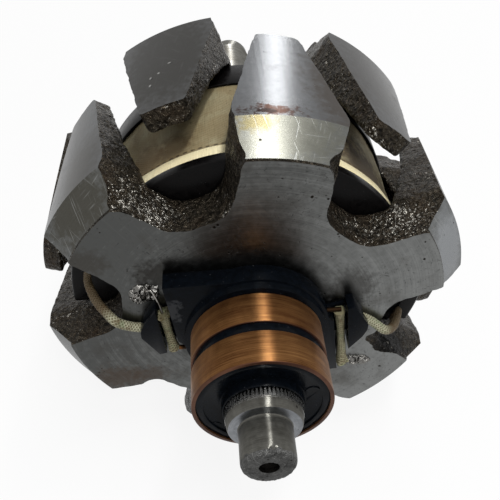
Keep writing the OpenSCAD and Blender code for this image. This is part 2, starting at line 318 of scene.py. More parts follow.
def brush(shader, amount):
    """Draw highlights out along the shaft, as lines turned round it do."""
    plug(shader["Anisotropic"], amount)
    plug(shader["Anisotropic Rotation"], 0.25)
    plug(shader["Tangent"], add(shader["Tangent"].id_data, "ShaderNodeTangent", direction_type="RADIAL", axis="Y"))


# Effects that several materials share

def make_turning_lines():
    """Fine lines that a tool leaves round the shaft, on a cylinder or on a flat face."""
    tree, start, end = new_group("turning lines", ["Place"], {"Pitch": 4.0, "Flat": 0.0}, ["Lines", "Bands"])
    x, y, z = split(start["Place"])
    r = sums("SQRT", x * x + z * z)
    across = r * start["Flat"] + y * (1.0 - start["Flat"])
    turn_x, turn_z = x / r, z / r
    for mask, pitch, scale, detail, rough in (("Lines", start["Pitch"], 1.3, 4, 0.7), ("Bands", 0.5, 1.1, 3, 0.6)):
        place = add(tree, "ShaderNodeCombineXYZ", {0: across * pitch, 1: turn_x, 2: turn_z})
        plug(end[mask], clouds(place, scale, detail, rough))
    return tree


def make_pits_and_scratches():
    """Small dark pits and short crossing scratches of a used metal face."""
    tree, start, end = new_group("pits and scratches", ["Place"], {"Pits": 0.5, "Scratches": 0.5, "Nicks": 0.0},
                                 ["Pit mask", "Scratch mask", "Nick mask"])
    place = start["Place"]

    def cuts(turn, axis, stretch, full):
        turned_place = add(tree, "ShaderNodeVectorRotate", {"Vector": place, "Angle": radians(turn), "Axis": axis})
        return between(clouds(stretched(turned_place, *stretch), 1.0, 2, 0.5), 0.66, full)

    nicks = strongest([cuts(turn, (0, 1, 0), (2.4, 1, 0.7), 0.71) for turn in (20, 70, -40)])
    worn_field = between(clouds(place, 0.09, 2, 0.5), 0.4, 0.55)
    plug(end["Nick mask"], nicks * worn_field * start["Nicks"])
    spots = add(tree, "ShaderNodeTexVoronoi", {"Vector": place, "Scale": 0.55, "Randomness": 1.0}, output="Distance")
    size = between(clouds(place, 0.35, 2), 0.45, 0.75, 0.0, 0.3) * start["Pits"]
    plug(end["Pit mask"], between(size - spots, 0.0, 0.1))
    scratches = strongest([cuts(turn, (0.3, 1, 0.4), (2.6, stretch * 3, stretch), 0.7)
                           for turn, stretch in ((35, 0.05), (-50, 0.06), (80, 0.04))])
    plug(end["Scratch mask"], scratches * start["Scratches"])
    return tree


def make_stain_spot():
    """One stain with a ragged edge, round a centre and with its own reach."""
    tree, start, end = new_group("stain spot", ["Place", "Centre", "Reach"], {"Ragged": 0.4}, ["Mask"])
    place = start["Place"]
    offset = add(tree, "ShaderNodeVectorMath", {0: place, 1: start["Centre"]}, operation="SUBTRACT")
    shares = add(tree, "ShaderNodeVectorMath", {0: offset, 1: start["Reach"]}, operation="DIVIDE")
    far = add(tree, "ShaderNodeVectorMath", {0: shares}, output="Value", operation="LENGTH")
    wander = clouds(place, 0.55, 4, 0.65) - 0.5
    plug(end["Mask"], between(far + wander * (start["Ragged"] * 4.0), 1.0, 0.45))
    return tree


def make_shaft_place():
    """Radius, station and turn round the shaft of a point."""
    tree, start, end = new_group("shaft place", ["Place"], {}, ["Radius", "Station", "Turn"])
    x, y, z = split(start["Place"])
    plug(end["Radius"], sums("SQRT", x * x + z * z))
    plug(end["Station"], y)
    plug(end["Turn"], sums("ARCTAN2", z, x))
    return tree


def make_cast_skin():
    """Rough skin of a steel casting: lumps, wrinkles, bright flecks that are partly grains and partly painted
    glints, and brown rust.
    """
    tree, start, end = new_group("cast skin", ["Place"], {"Grain": 1.0, "Boost": 0.0},
                                 ["Height", "Grains_and_glints", "Rust", "Shade"])
    place = start["Place"]
    lumps = clouds(place, 0.5, 3, 0.55)
    grain = clouds(place, start["Grain"] * 1.1, 5, 0.62, 0.5)
    chips = add(tree, "ShaderNodeTexVoronoi", {"Vector": place, "Scale": start["Grain"] * 0.9}, output="Distance",
                feature="SMOOTH_F1")
    plug(end["Height"], lumps * 0.8 + (grain * 1.1 + chips * 0.5))
    spark = clouds(place, 1.5, 3, 0.6)
    field = clouds(place, 0.14, 3, 0.6)
    plug(end["Grains_and_glints"], between(spark + (field * 0.5 + start["Boost"]), 0.9, 0.99))
    plug(end["Rust"], between(clouds(place, 0.16, 4, 0.65), 0.48, 0.7))
    plug(end["Shade"], grain)
    return tree


def make_grime():
    """Uneven film of oil, dust and old stains."""
    tree, start, end = new_group("oil and grime", ["Place"], {"Spread": 0.5}, ["Film", "Mottle"])
    place = start["Place"]
    low = 0.75 - start["Spread"] * 0.5
    plug(end["Film"], between(clouds(place, 0.09, 4, 0.62, 0.6), low, low + 0.25))
    plug(end["Mottle"], clouds(place, 0.7, 4, 0.6))
    return tree


turning_lines = make_turning_lines()
pits_and_scratches = make_pits_and_scratches()
stain_spot = make_stain_spot()
shaft_place = make_shaft_place()
cast_skin = make_cast_skin()
grime = make_grime()


def stains(place, colour, spots):
    """Lay stains over a colour, some of them patches of painted shade, each with a centre, a reach, a colour, its
    strength and how ragged it is.
    """
    for centre, reach, stain, strength, ragged in spots:
        spot = use_group(stain_spot, place, centre=centre, reach=reach, ragged=ragged)
        colour = tint(spot["Mask"] * strength, colour, stain)
    return colour


# Finishes

def turned_steel(name, dark, light, film_colour, rough, pits, scratches, spread, flat=0.0, pitch=4.0, spots=(),
                 oil_and_shade_radii=None, lean=0.0, brushed=0.0, lumpy=0.0, nicks=0.0):
    """Machined steel with tool lines, pits, scratches, stains, patches of painted shade and a film of old oil.

    flat is 1 on a face across the shaft, the pair of radii darkens the face between them as painted shade (with oil
    on the pole face), lean lightens it towards the lower right, brushed draws out its highlights and lumpy breaks
    its surface up."""
    material, shader, place = new_material(name)
    lines = use_group(turning_lines, place, pitch=pitch, flat=flat)
    marks = use_group(pits_and_scratches, place, pits=pits, scratches=scratches, nicks=nicks)
    film = use_group(grime, place, spread=spread)
    shade = lines["Lines"] * 0.5 + (lines["Bands"] * 0.25 + film["Mottle"] * 0.35)
    if lean:
        x, y, z = split(place)
        shade = shade + between(x - z * 0.6, -50, 60, -lean, lean)
    colour = tint(between(shade, 0.36, 0.76), dark, light)
    colour = tint(film["Film"] * 0.7, colour, film_colour)
    colour = stains(place, colour, spots)
    # Painted shade: darkens the colour between two radii, with some oil on the pole face near the hub.
    if oil_and_shade_radii:
        inner, outer = oil_and_shade_radii
        broad = clouds(place, 0.1, 3, 0.6)
        wander = ((film["Mottle"] - 0.5) * (0.5 * (outer - inner))
                  + (broad - 0.5) * ((1.8 if lean else 0.3) * (outer - inner)))
        uneven = use_group(shaft_place, place)["Radius"] + wander
        colour = tint(between(uneven, outer, inner, 0.0, 0.85), colour, (0.012, 0.011, 0.01))
    colour = tint(marks["Scratch mask"] * 0.6, colour, scaled(light, 1.9))
    colour = tint(marks["Nick mask"] * 0.75, colour, scaled(dark, 0.3))
    colour = tint(marks["Pit mask"], colour, (0.012, 0.01, 0.008))
    plug(shader["Base Color"], colour)
    plug(shader["Metallic"], 1.0)
    plug(shader["Specular Tint"], (0.7, 0.7, 0.7, 1))
    finish = rough + (film["Mottle"] - 0.5) * 0.1
    plug(shader["Roughness"], sums("ADD", finish, film["Film"] * 0.1, clamp=True))
    height = lines["Lines"] * 0.3 + marks["Pit mask"] * -2.0
    height = height - (marks["Scratch mask"] * 0.3 + marks["Nick mask"])
    if lumpy:
        height = height + clouds(place, 1.7, 5, 0.68) * lumpy
    if brushed:
        brush(shader, brushed)
    bump(shader, height, 0.02)
    return material


def folded_steel(name):
    """Punched-up steel, bright on its folds and black in its creases: the crease depth paints shade into the colour.
    """
    material, shader, place = new_material(name)
    crease = add(place.tree, "ShaderNodeAttribute", output="Fac", attribute_name="crease")
    fine = clouds(place, 1.6, 4, 0.65)
    depth = crease + (fine - 0.5) * 0.8
    # Painted shade: the colour runs from steel on the folds to black by crease depth.
    plug(shader["Base Color"], tint(between(depth, 0.35, 0.75), (0.16, 0.155, 0.145), (0.004, 0.0035, 0.003)))
    plug(shader["Metallic"], between(depth, 0.2, 0.9, 1.0, 0.9))
    plug(shader["Roughness"], between(fine, 0.3, 0.7, 0.2, 0.36))
    bump(shader, fine, 0.12)
    return material


def raw_casting(name, glints, spots):
    """As-cast skin of the claws and slots, black with oil and scale, with bright flecks that are partly broken
    grains and partly painted glints.
    """
    material, shader, place = new_material(name)
    boost = strongest([use_group(stain_spot, place, centre=centre, reach=reach, ragged=0.3)["Mask"] * 0.1
                       for centre, reach in glints])
    skin = use_group(cast_skin, place, grain=1.0, boost=boost)
    colour = tint(between(skin["Shade"], 0.36, 0.68), (0.0055, 0.0045, 0.0034), (0.05, 0.041, 0.029))
    colour = tint(skin["Rust"] * 0.5, colour, (0.034, 0.022, 0.012))
    colour = stains(place, colour, spots)
    # Bright flecks: partly broken grains, partly painted glints, crowded in the fields where the lamps catch the
    # slot floors.
    plug(shader["Base Color"], tint(skin["Grains_and_glints"], colour, (0.34, 0.325, 0.29)))
    plug(shader["Metallic"], between(skin["Grains_and_glints"], 0, 1, 0.85, 1.0))
    gloss = between(skin["Shade"], 0.3, 0.7, 0.4, 0.2)
    plug(shader["Roughness"], sums("SUBTRACT", gloss, skin["Grains_and_glints"] * 0.08, clamp=True))
    plug(shader["Specular IOR Level"], 0.3)
    bump(shader, skin["Height"], 0.75)
    return material


def dark_plastic(name, base, dusty, rough, grain, gloss, spots):
    """Moulded black plastic with a fine skin, dust and small light chips."""
    material, shader, place = new_material(name)
    film = use_group(grime, place, spread=0.5)
    fine = clouds(place, 2.4, 4, 0.7)
    chips = clouds(place, 2.1, 2, 0.5)
    colour = tint(between(film["Mottle"], 0.3, 0.75), base, dusty)
    colour = tint(between(chips, 0.73, 0.78, 0, 0.7), colour, (0.12, 0.12, 0.125))
    plug(shader["Base Color"], stains(place, colour, spots))
    plug(shader["Roughness"], rough + (film["Mottle"] - 0.5) * 0.3)
    plug(shader["Specular IOR Level"], gloss)
    bump(shader, fine, grain)
    return material


def woven_tape(name, pale, stained, stitches=None, spots=()):
    """Cream insulating tape: threads along the shaft, stains and patches of painted shadow, and a row of dark
    stitches where asked.
    """
    material, shader, place = new_material(name)
    where = use_group(shaft_place, place)
    around = where["Turn"] * TAPE_R
    flat_place = add(place.tree, "ShaderNodeCombineXYZ", {0: around, 1: where["Station"]})
    threads = clouds(stretched(flat_place, 3.2, 0.25, 1), 1.0, 3, 0.6)
    weave = sums("SINE", around * 8.0) * sums("SINE", where["Station"] * 8.0)
    film = use_group(grime, place, spread=0.8)
    colour = tint(between(threads, 0.3, 0.7), pale, scaled(pale, 0.72))
    colour = tint(film["Film"] * 0.6, colour, stained)
    colour = tint(between(film["Mottle"], 0.55, 0.75, 0.0, 0.45), colour, stained)
    colour = tint(between(weave, 0.0, 1.0, 0.0, 0.15), colour, stained)
    fleck = between(clouds(place, 1.2, 2, 0.5), 0.66, 0.74, 0.0, 0.75)
    colour = tint(fleck, colour, scaled(stained, 0.5))
    colour = stains(place, colour, spots)
    height = weave * 0.25 + (threads + film["Mottle"])
    if stitches:
        row = sums("ABSOLUTE", where["Station"] - stitches)
        dash = between(sums("SINE", around * 3.4 + threads * 4.0), -0.3, 0.3)
        thread = dash * between(row, 0.34, 0.18)
        seam = between(row, 0.9, 0.1)
        colour = tint(seam * 0.35, colour, stained)
        colour = tint(thread * 0.85, colour, (0.03, 0.02, 0.01))
        height = height - seam * 1.2
    plug(shader["Base Color"], colour)
    plug(shader["Roughness"], 0.75)
    plug(shader["Specular IOR Level"], 0.3)
    bump(shader, height, 0.14)
    return material


def braided_sleeve(name, shade, pale, coil_end=None):
    """Woven glass sleeve: crossing strands that follow the sleeve, brown where it leaves the coil."""
    material, shader, place = new_material(name)
    turn, run, _ = split(add(place.tree, "ShaderNodeUVMap", uv_map="sleeve"))
    around, down = turn * (2 * pi * 6), run * 8.0
    weave = sums("MAXIMUM", sums("SINE", around + down), sums("SINE", around - down))
    film = use_group(grime, place, spread=0.6)
    colour = tint(between(weave, -0.4, 0.9), shade, pale)
    green = clouds(place, 0.42, 3, 0.6)
    colour = tint(between(green, 0.54, 0.66, 0, 0.55), colour, (0.15, 0.19, 0.1))
    brown = clouds(stretched(place, 1, 1, 1, (40, 10, 0)), 0.33, 3, 0.6)
    colour = tint(between(brown, 0.54, 0.68, 0, 0.75), colour, (0.1, 0.06, 0.022))
    if coil_end:
        soaked = between(run + brown * 4.0, coil_end + 3, coil_end, 0.0, 0.9)
        colour = tint(soaked, colour, (0.085, 0.052, 0.022))
    plug(shader["Base Color"], colour)
    plug(shader["Roughness"], between(film["Mottle"], 0.3, 0.7, 0.5, 0.8))
    plug(shader["Specular IOR Level"], 0.35)
    bump(shader, weave, 0.12)
    return material


def worn_copper(name, dark, light, rough, pitch, spots=(), brushed=0.0):
    """Copper with fine wear lines round the shaft and darker stains."""
    material, shader, place = new_material(name)
    lines = use_group(turning_lines, place, pitch=pitch, flat=0.0)
    film = use_group(grime, place, spread=0.6)
    colour = tint(between(lines["Lines"] * 0.75 + lines["Bands"] * 0.3, 0.4, 0.68), dark, light)
    colour = tint(film["Film"] * 0.5, colour, scaled(dark, 0.6))
    plug(shader["Base Color"], stains(place, colour, spots))
    plug(shader["Metallic"], 1.0)
    plug(shader["Roughness"], rough + (film["Mottle"] - 0.5) * 0.15)
    if brushed:
        brush(shader, brushed)
    bump(shader, lines["Lines"], 0.012 if brushed else 0.03)
    return material


# Stains and patches of painted shade: centre and reach in millimetres, colour, strength, how ragged
BROWN_GREY = (0.075, 0.069, 0.06)
RUST = (0.05, 0.026, 0.019)
NICK = (0.38, 0.38, 0.365)
PIT = (0.012, 0.011, 0.01)
# The first entry is a lighter, bluer tone on the top claw's band. The next five are painted shade: they darken the
# bands of the 109°, 139° and 49° claws and the right side of the top claw's band. The rest are rust, nicks and pits.
BAND_SHADE_AND_STAINS = [((8, -42, 53), (22, 32, 15), (0.165, 0.17, 0.178), 0.7, 0.2),
               ((-17, -30, 50.6), (19, 34, 15), (0.045, 0.043, 0.039), 0.9, 0.25),
               ((23, -48, 48.5), (11, 26, 10), (0.068, 0.058, 0.05), 0.9, 0.3),
               ((-44, -40, 30), (12, 26, 14), (0.068, 0.067, 0.066), 0.75, 0.2),
               ((-37, -57, 38), (9, 15, 12), (0.05, 0.046, 0.038), 0.7, 0.3),
               ((36, -28, 41), (16, 30, 16), (0.066, 0.063, 0.059), 0.85, 0.3),
               ((6.5, -61.7, 53), (6.5, 2.4, 4), RUST, 1.0, 0.9),
               ((4.0, -62.0, 53.3), (3.5, 1.2, 3), (0.02, 0.012, 0.01), 1.0, 1.0),
               ((-16, -34.4, 51), (0.6, 0.35, 0.6), NICK, 0.8, 0.1),
               ((-15.6, -34.8, 51.1), (0.5, 0.35, 0.6), PIT, 0.8, 0.1),
               ((-18.6, -37.5, 50.2), (0.4, 0.45, 0.6), NICK, 0.8, 0.1),
               ((-20.5, -38.4, 49.4), (0.4, 0.6, 0.6), NICK, 0.7, 0.1),
               ((-20.2, -38.9, 49.5), (0.4, 0.6, 0.6), PIT, 0.8, 0.1),
               ((-20.5, -41.9, 49.4), (0.4, 0.6, 0.6), NICK, 0.8, 0.1),
               ((-20.2, -42.4, 49.5), (0.4, 0.5, 0.6), PIT, 0.8, 0.1)]
BEVEL_STAINS = [((8, -66, 50), (20, 9, 12), (0.14, 0.138, 0.112), 0.7, 0.3),
                ((2, -64.5, 52), (5, 2.2, 4), (0.12, 0.1, 0.045), 0.8, 0.5),
                ((-37, -66, 34), (15, 8, 16), (0.052, 0.048, 0.037), 0.8, 0.3),
                ((47, -67, 14), (10, 7, 16), (0.27, 0.28, 0.29), 0.9, 0.2)]
# The first entry is a painted shadow beside the left stake; the others are stains.
FACE_SHADOW_AND_STAINS = [((-21, -70.9, 17), (8, 3, 6), (0.016, 0.014, 0.012), 0.7, 0.5),
               ((24, -70.9, 8), (7, 3, 8), (0.03, 0.028, 0.025), 0.6, 0.4),
               ((-38, -70.9, 22), (7, 3, 5), (0.04, 0.034, 0.027), 0.5, 0.5),
               ((-37, -70.9, -20.5), (9, 3, 6), (0.062, 0.045, 0.033), 0.65, 0.5),
               ((-29, -70.9, -20), (7, 3, 4), (0.06, 0.044, 0.034), 0.55, 0.5)]
# The first entry darkens the slot wall under the bottom claw as painted shade; the second is a lighter patch; the
# third darkens the lower right wall.
CAST_SHADE_AND_PATCHES = [((-19, -63, -44), (8, 16, 14), (0.009, 0.0085, 0.008), 0.95, 0.2),
               ((45, -66, -9.5), (5, 6, 5), (0.1, 0.102, 0.098), 0.8, 0.4),
               ((39.5, -68.6, -16.5), (13, 7, 8), (0.0045, 0.0043, 0.004), 1.0, 0.2)]
HUB_CHIPS = [((-19.5, -75.5, 9.5), (2.5, 2, 4), (0.06, 0.062, 0.066), 0.5, 0.9)]
RED_STROKES = [((-24.5, -61, 27), (3.5, 3, 1.2), (0.05, 0.006, 0.005), 0.7, 0.9)]
# The first two and the last entries are brown painted shadow where the claws shade the tape; the third, on the
# right, is painted shade with dirt.
TAPE_SHADOW_AND_STAINS = [((-24, -50, 33), (8, 10, 10), (0.15, 0.1, 0.05), 0.75, 0.4),
               ((-16, -49, 37), (6, 7, 6), (0.1, 0.066, 0.03), 0.75, 0.3),
               ((30, -50, 28), (14, 14, 14), (0.075, 0.055, 0.036), 0.9, 0.5),
               ((-36, -50, 20), (12, 14, 12), (0.2, 0.13, 0.055), 0.7, 0.4)]
TERMINAL_DIRT = [((-19.8, -73, -6.9), (1.6, 4, 2), (0.16, 0.07, 0.025), 0.9, 0.3)]

# Fields where the casting's bright flecks crowd, painted glints where the lamps catch the slot floors: centre and
# reach
PAINTED_GLINT_FIELDS = [((-25, -67, 31), (13, 8, 10)), ((33, -67, 27), (14, 8, 10)),
                ((-40, -58, 30), (8, 12, 10)), ((18, -40, 47), (8, 20, 10))]
TAPE_CREAM = (0.405, 0.366, 0.228)
STITCH_ROW = along(13.4)

# Finishes of the pieces
ground_band = turned_steel("ground_band", (0.072, 0.073, 0.074), (0.14, 0.143, 0.146), BROWN_GREY,
                           rough=0.23, pits=0.6, scratches=0.1, spread=0.35, pitch=5.0, spots=BAND_SHADE_AND_STAINS)
turned_bevel = turned_steel("turned_bevel", (0.085, 0.088, 0.088), (0.17, 0.174, 0.17), (0.08, 0.075, 0.055),
                            rough=0.27, pits=0.7, scratches=0.6, spread=0.35, flat=1.0, spots=BEVEL_STAINS)
# The darkening between 16.5 and 24 mm round the hub is painted shade, with oil.
turned_face = turned_steel("turned_face", (0.074, 0.0755, 0.073), (0.188, 0.192, 0.188), (0.055, 0.051, 0.045),
                           rough=0.3, pits=1.0, scratches=0.04, spread=0.4, flat=1.0, spots=FACE_SHADOW_AND_STAINS,
                           oil_and_shade_radii=(16.5, 24), lean=0.26, nicks=0.9)
journal_steel = turned_steel("journal_steel", (0.045, 0.043, 0.037), (0.165, 0.162, 0.146), (0.04, 0.034, 0.026),
                             rough=0.31, pits=1.0, scratches=0.1, spread=0.5, pitch=6.0, brushed=1.0)
drive_end_steel = turned_steel("drive_end_steel", (0.095, 0.093, 0.084), (0.21, 0.206, 0.19), (0.07, 0.062, 0.05),
                               rough=0.26, pits=0.8, scratches=0.1, spread=0.45, pitch=5.0)
# Lighter, bluer copy of the shaft steel for the shoulder face: a painted reflection.
shoulder_steel_painted_sheen = turned_steel("shoulder_steel_painted_sheen", (0.12, 0.127, 0.136), (0.3, 0.31, 0.325), (0.1, 0.098, 0.095),
                              rough=0.3, pits=0.6, scratches=0.2, spread=0.3, flat=1.0, pitch=6.0)
journal_end = turned_steel("journal_end", (0.016, 0.016, 0.0155), (0.14, 0.14, 0.136), (0.02, 0.019, 0.017),
                           rough=0.38, pits=1.2, scratches=0.6, spread=0.4, flat=1.0, lumpy=18.0)
# The near-black colour inside the lathe centre hole is painted shade.
centre_hole = turned_steel("centre_hole", (0.003, 0.0028, 0.0025), (0.012, 0.011, 0.01), (0.004, 0.0035, 0.003),
                           rough=0.6, pits=1.0, scratches=0.2, spread=0.5, lumpy=10.0)
# The light crest colour is raised partly as a painted highlight, and the darkening in the grooves between 8.3 and
# 8.62 mm is painted shade.
knurl_steel_painted_light_and_shade = turned_steel("knurl_steel_painted_light_and_shade", (0.38, 0.38, 0.365), (0.8, 0.8, 0.78), (0.26, 0.25, 0.23),
                           rough=0.27, pits=0.4, scratches=0.1, spread=0.3, oil_and_shade_radii=(8.3, 8.62))
cast_surface = raw_casting("raw_casting", PAINTED_GLINT_FIELDS, CAST_SHADE_AND_PATCHES)
hub_black = dark_plastic("hub_black", (0.0015, 0.002, 0.0028), (0.003, 0.0045, 0.0072),
                         rough=0.22, grain=0.012, gloss=0.05, spots=HUB_CHIPS)
bobbin_black = dark_plastic("bobbin_black", (0.0015, 0.0014, 0.0015), (0.004, 0.0034, 0.0034),
                            rough=0.3, grain=0.006, gloss=0.08, spots=RED_STROKES)
tape_cloth = woven_tape("tape_cloth", TAPE_CREAM, (0.2, 0.135, 0.055), STITCH_ROW, TAPE_SHADOW_AND_STAINS)
# The hem is paler cloth than the tape, and its colour is raised further as painted light.
hem_cloth_painted_light = woven_tape("hem_cloth_painted_light", (1.0, 0.93, 0.62), (0.8, 0.65, 0.37))
lead_cloth = braided_sleeve("lead_cloth", (0.17, 0.15, 0.085), (0.44, 0.43, 0.3), coil_end=17)
tail_cloth = braided_sleeve("tail_cloth", (0.12, 0.102, 0.05), (0.32, 0.3, 0.185))
ring_copper = worn_copper("worn_ring", (0.062, 0.0195, 0.0066), (0.29, 0.145, 0.053), rough=0.37, pitch=9.0,
                          brushed=1.0)
ring_edge = worn_copper("tarnished_edge", (0.05, 0.022, 0.014), (0.13, 0.06, 0.035), rough=0.4, pitch=9.0)
terminal_copper = worn_copper("dull_terminal", (0.01, 0.006, 0.0035), (0.03, 0.016, 0.008), rough=0.6, pitch=3.0,
                              spots=TERMINAL_DIRT)
bright_wire = turned_steel("bright_wire", (0.16, 0.15, 0.135), (0.4, 0.385, 0.36), (0.12, 0.09, 0.06),
                           rough=0.3, pits=0.3, scratches=0.6, spread=0.3)
staked_steel = folded_steel("staked_steel")
core_iron = turned_steel("bare_core", (0.06, 0.057, 0.05), (0.12, 0.115, 0.105), (0.05, 0.035, 0.025),
                         rough=0.5, pits=0.5, scratches=0.2, spread=0.6)
winding_enamel = worn_copper("enamelled_wire", (0.22, 0.08, 0.03), (0.4, 0.18, 0.07), rough=0.3, pitch=2.0)


# Claw poles: cast with stock on the outside, then turned to size

CAST_STOCK = 1.3
BEVEL_STOCK = 1.3
CAST_VOXEL = 0.6
CAST_ROUGHNESS = (("casting_lumps", 5.0, 0.7), ("casting_grain", 1.5, 0.4))
LATHE_STEPS = 240
RAW, BAND, BEVEL, FACE = range(4)

# Places where the casting fell short or ran wide, with their reach and the move they take, in millimetres
CAST_DIPS = {
    "front_claw_pole": [((36.5, -71.5, -15.5), (7.5, 4, 4), (0, 2.6, 0)),
                        ((31.5, -71.5, -12), (4, 4, 3), (0, 2.2, 0)),
                        ((-28, -67, -23.5), (16, 14, 9), (0.6, 0, -2.9)),
                        ((23.5, -66, -35.5), (8, 14, 7), (-1.8, 0, -2.8)),
                        ((-27.8, -71.5, -24.3), (3.4, 4, 2.3), (0, 2.6, 0.1)),
                        ((51, -26, 18), (9, 12, 12), (-0.5, -4.5, 0)),
                        ((-41, -26, 36), (9, 10, 12), (0, -2.0, 0)),
                        ((10, -24, 53), (12, 8, 8), (0, -0.9, 0)),
                        ((-3.8, -70.0, 48.4), (3.6, 4, 4), (0.4, 1.7, -1.7)),
                        ((20.2, -70.0, 43.4), (3.8, 4, 4), (-0.6, 2.0, -1.8)),
                        ((-27.5, -69.5, 39.2), (3.6, 4, 4), (1.1, 1.7, -1.4))],
    "rear_claw_pole": [((-17, -55, 50), (12, 6, 8), (0, 0.5, -0.3)),
                       ((49, -54, -14.5), (7, 7, 6), (-0.4, -0.3, -2.8))]}


def sink_dips(pole, dips):
    """Sink or pull back parts of the casting with a soft edge."""
    for centre, reach, move in dips:
        for vertex in pole.data.vertices:
            away = Vector([(vertex.co[i] / MM - centre[i]) / reach[i] for i in range(3)]).length
            if away < 1:
                vertex.co += (1 - away * away) * Vector(move) * MM


def lathe_blank(name, toward):
    """The volume that the lathe leaves: band, bevel and flat face of one pole."""
    band = ROTOR_R - 0.005
    rim = [(0, -TIP_Z - 2), (band, -TIP_Z - 2), (band, BAND_Z), (BEVEL_R, BEVEL_Z),
           (BEVEL_R + 0.1, BEVEL_Z + 0.4), (FACE_R - 0.1, FACE_Z), (0, FACE_Z)]
    blank = turned(name, [(r, along(z, toward)) for r, z in rim], LATHE_STEPS)
    for material in (cast_surface, ground_band, turned_bevel, turned_face):
        blank.data.materials.append(material)
    for face in blank.data.polygons:
        r = hypot(face.center.x, face.center.z) / MM
        z = toward * (face.center.y / MM - MIDDLE)
        if abs(z - FACE_Z) < 0.02:
            face.material_index = FACE
        elif BAND_Z < z < BEVEL_Z and r > BEVEL_R - 0.3:
            face.material_index = BEVEL
        elif r > ROTOR_R - 0.2:
            face.material_index = BAND
        else:
            face.material_index = RAW
    return blank


def sharpen_borders(pole):
    """Keep the shading of a machined face apart from the raw skin round it."""

    def border(edge):
        kinds = [face.material_index for face in edge.link_faces]
        return len(kinds) == 2 and kinds[0] != kinds[1]

    open_edit(pole)
    pick(pole, "EDGE", border)
    bpy.ops.mesh.mark_sharp()
    close_edit()


def claw_pole(name, node, toward):
    """One pole: the rough casting with stock on it, trimmed by the lathe."""
    pole = copy_of(node, name)
    pole.data.materials.append(cast_surface)
    face_y = along(FACE_Z, toward) * MM

    def on_bevel(face):
        middle = face.calc_center_median()
        return (0.5 < toward * face.normal.y < 0.85
                and BAND_Z - 1 < toward * (middle.y / MM - MIDDLE) < BEVEL_Z
                and face.normal.x * middle.x + face.normal.z * middle.z > 0)

    open_edit(pole)
    pick(pole, "VERT", lambda v: hypot(v.co.x, v.co.z) > (ROTOR_R - 0.2) * MM)
    swell = (ROTOR_R + CAST_STOCK) / ROTOR_R
    bpy.ops.transform.resize(value=(swell, 1, swell), center_override=(0, 0, 0))
    pick(pole, "VERT", lambda v: abs(v.co.y - face_y) < 0.02 * MM)
    bpy.ops.transform.translate(value=(0, toward * CAST_STOCK * MM, 0))
    pick(pole, "FACE", on_bevel)
    bpy.ops.mesh.extrude_region_shrink_fatten(TRANSFORM_OT_shrink_fatten={"value": BEVEL_STOCK * MM})
    close_edit()
    apply_modifier(pole, "REMESH", mode="VOXEL", voxel_size=CAST_VOXEL * MM)
    apply_modifier(pole, "SMOOTH", factor=0.5, iterations=16)
    for label, scale, strength in CAST_ROUGHNESS:
        roughen(pole, name + "_" + label, scale, 3, strength, 0.6)
    sink_dips(pole, CAST_DIPS[node])
    blank = lathe_blank(name + "_blank", toward)
    apply_modifier(pole, "BOOLEAN", operation="INTERSECT", object=blank, solver="EXACT",
                   material_mode="TRANSFER")
    bpy.data.objects.remove(blank)
    smooth(pole, 40)
    sharpen_borders(pole)
    finish_piece(pole, (), [node])


claw_pole("front_claw_casting", "front_claw_pole", FRONT)
claw_pole("rear_claw_casting", "rear_claw_pole", REAR)


# Shaft with its knurl and thread

TURNED_STEPS = 200
WORN_FROM = -110.2
KNURL_TEETH = 60
KNURL_START = -93.5
KNURL_RUNS = (-4.7, -1.0, -1.0, -0.5)
KNURL_END = -100.7
RUN_OUT_FROM = -98.2
RUN_OUT_LENGTH = 2.2


